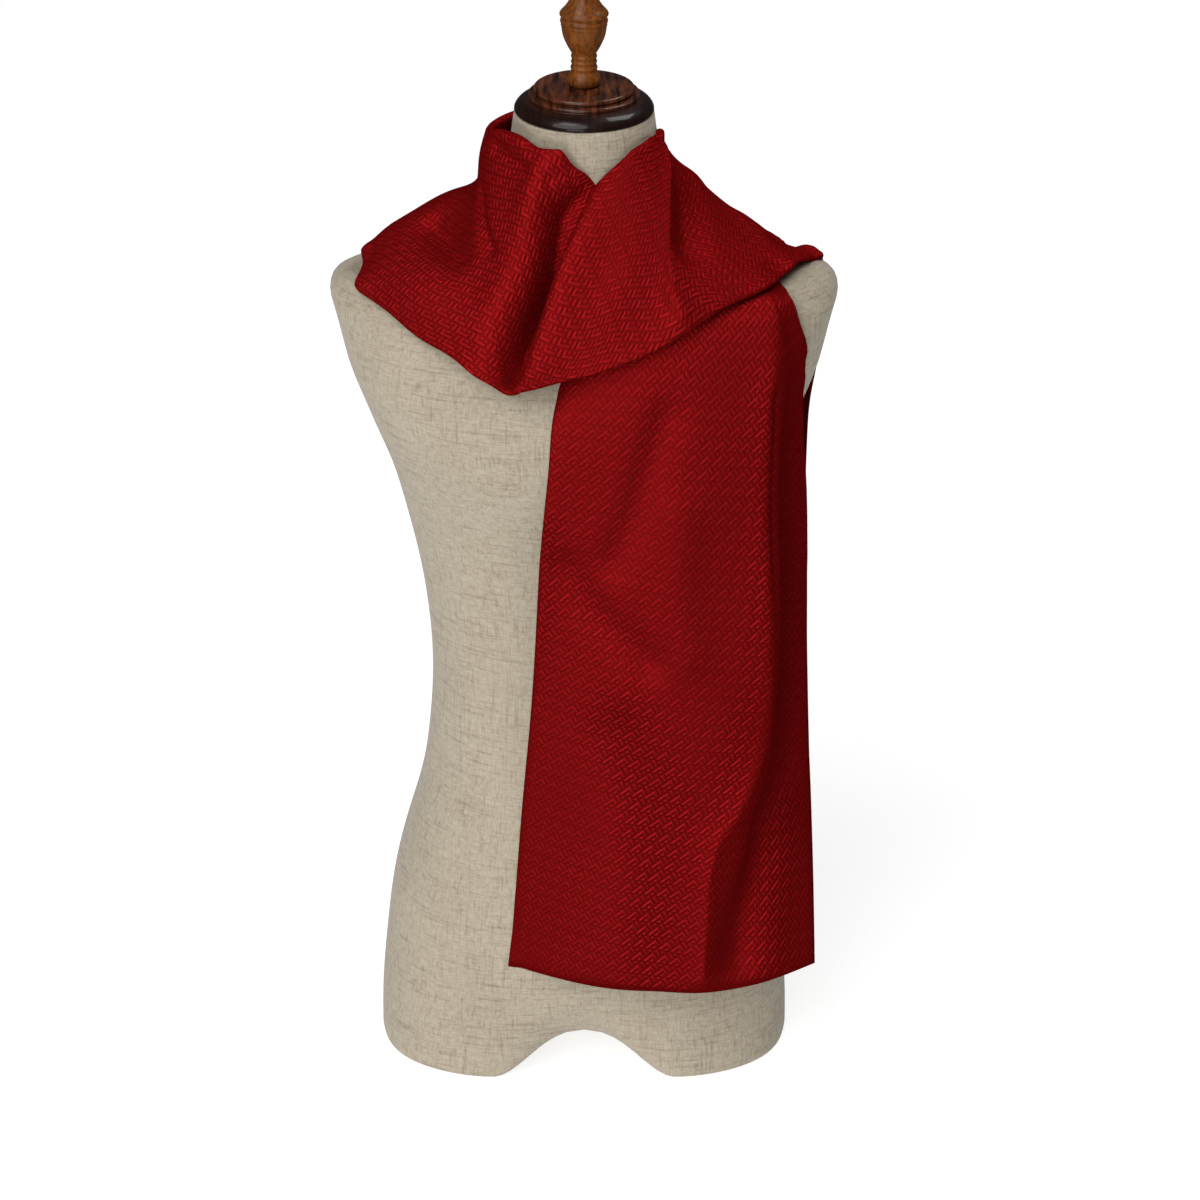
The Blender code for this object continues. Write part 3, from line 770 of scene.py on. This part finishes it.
def column_shares():
    """Shares of the width for the columns of each row: rim, middle, roll.

    Where the cloth hangs flat, the columns crowd at the ridge and the outer ones take up a share of
    the width. Where it is folded, they all start at its edges, to be rolled under.
    """
    fine = np.linspace(0, 1, FINE_SHARES)
    ridge = across[RIDGE_COLUMN] / across[-1]
    crowd = np.cumsum(1 + RIDGE_CROWD * np.exp(-((fine - ridge) / RIDGE_SHARE) ** 2))
    crowd = (crowd - crowd[0]) / (crowd[-1] - crowd[0])
    crowded = np.interp(even, crowd, fine)
    middle = even * folded[:, None] + crowded * (1 - folded)[:, None]
    rim_start = RIM_SHARE * (1 - folded)[:, None]
    roll_start = 1 - ROLL_SHARE * (1 - folded)[:, None]
    return np.concatenate([
        rim_start * np.linspace(0, 1, RIM_COLUMNS, endpoint=False),
        rim_start + (roll_start - rim_start) * middle,
        roll_start + (1 - roll_start) * np.linspace(0, 1, ROLL_COLUMNS + 1)[1:],
    ], axis=1)


def strip_places(grid):
    """Where each point lies on the strip laid flat, in metres, so that the weave follows the cloth.

    From row to row the strip's heading turns by sum(step x lever) / sum(lever ^ 2), where each
    column has a step to the next row and a lever from the middle. Over the cowl it turns by
    WEAVE_TURN more, since the cloth lies askew there.
    """
    aside = running(spans(grid, 1), axis=1)
    aside -= aside[:, STRIP_MIDDLE:STRIP_MIDDLE + 1]
    flat = slice(RIM_EDGE + FLAT_MARGIN, ROLL_EDGE - FLAT_MARGIN)
    step = spans(grid[:, flat], 0)
    lever = aside[:-1, flat]
    lever = lever - lever.mean(axis=1, keepdims=True)
    heading = running((step * lever).sum(axis=1) / (lever ** 2).sum(axis=1))
    heading = (heading + WEAVE_TURN * ease(station - 1) * ease(5 - station))[:, None]
    pace = np.concatenate([[0], step.mean(axis=1)])[:, None]
    x = np.cumsum(-np.sin(heading) * pace, axis=0) + aside * np.cos(heading)
    y = np.cumsum(np.cos(heading) * pace, axis=0) + aside * np.sin(heading)
    return np.stack([x, y], axis=-1).reshape(-1, 2) * MM


parts = [sections(tables) for tables in STRETCHES]
rows = np.concatenate(parts)
along = running(spans(rows, 0).mean(axis=1))
across = running(spans(rows, 1).mean(axis=0))
starts = np.append(along[np.cumsum([0] + [len(part) for part in parts[:-1]])], along[-1])
places = [np.linspace(start, end, count, endpoint=False)
          for start, end, count in zip(starts[:-1], starts[1:], STRETCH_ROWS)]
places = np.append(np.concatenate(places), along[-1])
stretch = np.clip(np.searchsorted(starts, places, side="right") - 1, 0, len(parts) - 1)
station = np.interp(places, starts, np.arange(len(starts)))
fine = np.linspace(0, across[-1], FINE_COLUMNS)
dense = natural_spline(across, rows.swapaxes(0, 1), fine).swapaxes(0, 1)
dense = natural_spline(along, dense, places)

even = np.linspace(0, 1, MIDDLE_COLUMNS)
cloth = resample(dense, np.repeat(even[None], len(dense), axis=0))
upper = stretch >= 3
for turn in range(SETTLE_PASSES + 2):
    if turn == SETTLE_PASSES:
        cloth = shaped(cloth)
    cloth = off_linen(cloth)
    below = (stretch < 2) & (cloth[:, :, 2].max(axis=1) > UNDER_COWL)
    under = cloth[below][::UNDER_SPARSE, ::UNDER_SPARSE].reshape(-1, 3)
    facing = normals_of(cloth)[below][::UNDER_SPARSE, ::UNDER_SPARSE].reshape(-1, 3)
    cloth[upper] = off_silk(cloth[upper], under, facing)
    if turn < SETTLE_PASSES - 1:
        inner = cloth[1:-1, 1:-1]
        inner += SMOOTH_SHARE * (blurred(cloth)[1:-1, 1:-1] - inner)

folded = (ease((places - starts[1] + FOLD_BEFORE) / FOLD_IN)
          * ease((starts[4] + FOLD_AFTER - places) / FOLD_OUT))
cloth = resample(cloth, column_shares())
share = ease((1 - station) / FOLD_END + 1)
for height, width, sharpness, line in TAIL_FOLDS:
    cloth = folded_along(cloth, share, height, width, sharpness, line)
cloth = off_linen(cloth)
normal = normals_of(cloth)
run = running(spans(cloth, 1), axis=1)
to_side = np.minimum(run, run[:, -1:] - run)
to_hem = np.minimum(places, along[-1] - places)[:, None]
pressed = (1 - folded)[:, None] * np.clip(1 - to_side / PRESSED_WIDTH, 0, 1) ** 2
pressed = np.maximum(pressed, np.clip(1 - to_hem / PRESSED_WIDTH, 0, 1) ** 2)
cloth -= (PRESSED_DEPTH * pressed)[..., None] * normal
share = folded[:, None]
for side, edge, count, radius in ((1, ROLL_EDGE, ROLL_COLUMNS, ROLL_RADIUS),
                                  (-1, RIM_EDGE, RIM_COLUMNS, RIM_RADIUS)):
    outward = cloth[:, edge] - cloth[:, edge - 2 * side]
    outward /= np.linalg.norm(outward, axis=1, keepdims=True)
    turns = min(ROLL_TURNS, count - 3)
    for step in range(1, count + 1):
        angle = math.pi * min(step / turns, 1)
        column = edge - 2 * side * max(step - turns, 0)
        curl = math.sin(angle) * outward - (1 - math.cos(angle)) * normal[:, column]
        rolled = cloth[:, column] + radius * curl
        spread = cloth[:, edge + side * step]
        cloth[:, edge + side * step] = spread * (1 - share) + rolled * share

scarf = surface("silk_scarf", cloth, quads(*cloth.shape[:2]))
cowl = ease((station - COWL_FIRST) * COWL_FADE) * ease((COWL_LAST - station) * COWL_FADE)
# mask of painted glint and painted shade, which also raises the weave's relief: a base value
# everywhere, more over the cowl, most along the lines
glint_and_bend = np.broadcast_to((LEAST_GLINT_AND_BEND + COWL_GLINT_AND_BEND * cowl)[:, None], cloth.shape[:2])
for strong, width, line in GLINT_AND_BEND_LINES:
    glint_and_bend = np.maximum(glint_and_bend, strong * beside(cloth, width, 2, line))
glint_and_bend_layer = scarf.data.attributes.new("glint_and_bend", "FLOAT", "POINT")
glint_and_bend_layer.data.foreach_set("value", np.ascontiguousarray(glint_and_bend, dtype=np.float32).ravel())
corners = np.empty(len(scarf.data.loops), int)
scarf.data.loops.foreach_get("vertex_index", corners)
cut = scarf.data.uv_layers.new(name="cut")
cut.data.foreach_set("uv", strip_places(cloth)[corners].ravel())
wall = scarf.modifiers.new("silk_wall", "SOLIDIFY")
wall.thickness = SILK_WALL * MM
wall.offset = 0

# The weave is a key fret of short bars, given in threads of FRET_THREAD millimetres on a lattice
# FRET_PERIOD threads wide, and once more in the middle of each square of it. The two ways of the
# lattice lean by FRET_LEAN from across the strip. Away from the glint lines the bars show less;
# along them they stand up more, with painted glints on the bars and painted shade on the ground.
FRET_THREAD = 1.95
FRET_PERIOD = 8
FRET_LEAN = (math.radians(43), math.radians(123))
FRET_BARS = (
    # middle, half size, how far the bar stands up
    (2, 0, 2.5, 0.5, 1.0),
    (4, -1, 0.5, 1.5, 1.0),
    (2.2, -2, 0.7, 0.5, 0.9),
    (6, -1, 0.5, 1.5, 0.85),
    (0, -2, 0.5, 0.5, 0.75),
)
BAR_EDGE = (-0.4, 0.35)
FIGURE_OFF_GLINT = 0.3
SILK_RELIEF = 0.001
SILK_GROUND = (0.135, 0.0027, 0.0032, 1)
SILK_FLOAT = (0.36, 0.0098, 0.0112, 1)

silk, shader, _, flat = material(
    "red_jacquard_silk", Metallic=0.7, Specular_IOR_Level=0.0, Specular_Tint=(1.0, 0.06, 0.06, 1))
u = flat.node("SeparateXYZ", {}, {0: flat}, 0)
v = flat.node("SeparateXYZ", {}, {0: flat}, 1)
lean = np.linalg.inv([[math.cos(a) for a in FRET_LEAN], [math.sin(a) for a in FRET_LEAN]])
lean /= FRET_THREAD * MM
stair = u * float(lean[0, 0]) + v * float(lean[0, 1])
rung = u * float(lean[1, 0]) + v * float(lean[1, 1])
inside = 0.0
for middle_a, middle_b, half_a, half_b, stand in FRET_BARS:
    for shift in (0, FRET_PERIOD / 2):
        from_a = flat.maths("PINGPONG", stair - float(middle_a + shift), FRET_PERIOD / 2)
        from_b = flat.maths("PINGPONG", rung - float(middle_b + shift), FRET_PERIOD / 2)
        bar = flat.maths("MINIMUM", half_a - from_a, half_b - from_b).pick(*BAR_EDGE) * stand
        inside = flat.maths("MAXIMUM", inside, bar)
thread = flat.noise((2600, 320, 1), Detail=2.0)
cloud = flat.noise((11, 8, 1), Detail=3.0).pick(0.3, 0.7)
glint_and_bend = flat.node("Attribute", {"attribute_name": "glint_and_bend"}, {}, 2)
# painted light: along the glint lines the bars' colour is brighter, as painted glints
painted_glint_and_lift = (glint_and_bend + cloud * 0.5 - 0.25).pick(0.0, 1.0)
figure = inside * (painted_glint_and_lift * (1 - FIGURE_OFF_GLINT) + FIGURE_OFF_GLINT)
# painted shade: the tone is darkened along the same lines
tone = figure * 0.75 + thread * 0.3 + cloud * 0.12 - painted_glint_and_lift * 0.20 + 0.14
feed(shader, Base_Color=tone.blend(SILK_GROUND, SILK_FLOAT), Roughness=0.60 - 0.15 * figure,
     Normal=(figure + 0.3 * thread).relief(SILK_RELIEF, 0.9))
scarf.data.materials.append(silk)
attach(scarf, "root")
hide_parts("scarf_front_tail", "scarf_neck_wrap", "scarf_cowl_left", "scarf_cowl_right",
            "scarf_back_tail")

# Studio
# A white floor in a dim white room, a broad soft light from the front left, a softbox above on each
# side and a low card in front. The camera looks down on the front, as the photograph does.
FLOOR_HALF = 9000.0
FLOOR_GREY = (0.40, 0.40, 0.40, 1)
FLOOR_GLOW = 0.76
ROOM_STRENGTH = 0.06
SKY_ENERGY = 2.2
SKY_SPREAD = math.radians(50)
SKY_TURN = (math.radians(50), 0, math.radians(-27))
LIGHTS = (
    # name, place in metres, size in metres, watts
    ("key_softbox", (-0.8, -1.0, 3.1), 1.0, 13),
    ("fill_softbox", (1.1, 0.5, 2.6), 1.0, 20),
    ("front_card", (-0.5, -2.0, 0.25), 1.0, 18),
)
LIGHTS_AIM = (0.0, 0.0, 0.5)
CAMERA_HEIGHT = 1.799
CAMERA_BACK = 2.828
CAMERA_DOWN = 26.6
CAMERA_LENS = 118.4
CAMERA_SHIFT = 0.0133


def hang(data, place, turn):
    """Put a lamp with these settings in the scene."""
    lamp = bpy.data.objects.new(data.name, data)
    lamp.location = place
    lamp.rotation_euler = turn
    bpy.context.scene.collection.objects.link(lamp)


corners = np.array([[-1, -1], [1, -1], [1, 1], [-1, 1]]) * FLOOR_HALF
floor = surface("studio_floor", np.column_stack([corners, np.zeros(4)]), np.array([[0, 1, 2, 3]]))
paper, shader, _, _ = material(
    "white_paper", Base_Color=FLOOR_GREY, Roughness=0.9, Emission_Color=(1, 1, 1, 1),
    Emission_Strength=FLOOR_GLOW)
floor.data.materials.append(paper)
floor.visible_glossy = False

bpy.context.scene.view_settings.view_transform = "Standard"
room = bpy.data.worlds.new("bright_room")
room.use_nodes = True
background = room.node_tree.nodes["Background"]
background.inputs["Color"].default_value = (1, 1, 1, 1)
background.inputs["Strength"].default_value = ROOM_STRENGTH
bpy.context.scene.world = room

sky = bpy.data.lights.new("soft_sky_panel", "SUN")
sky.energy = SKY_ENERGY
sky.angle = SKY_SPREAD
hang(sky, (0, 0, 0), SKY_TURN)
for name, spot, size, power in LIGHTS:
    light = bpy.data.lights.new(name, "AREA")
    light.size = size
    light.energy = power
    aim = np.array(LIGHTS_AIM) - spot
    tilt = math.acos(-aim[2] / np.linalg.norm(aim))
    hang(light, spot, (tilt, 0, math.atan2(-aim[0], aim[1])))

lens = bpy.data.cameras.new("camera")
lens.lens = CAMERA_LENS
lens.shift_x = CAMERA_SHIFT
camera = bpy.data.objects.new("camera", lens)
camera.location = (0, AXIS_Y * MM - CAMERA_BACK, CAMERA_HEIGHT)
camera.rotation_euler = (math.radians(90 - CAMERA_DOWN), 0, 0)
bpy.context.scene.collection.objects.link(camera)
bpy.context.scene.camera = camera
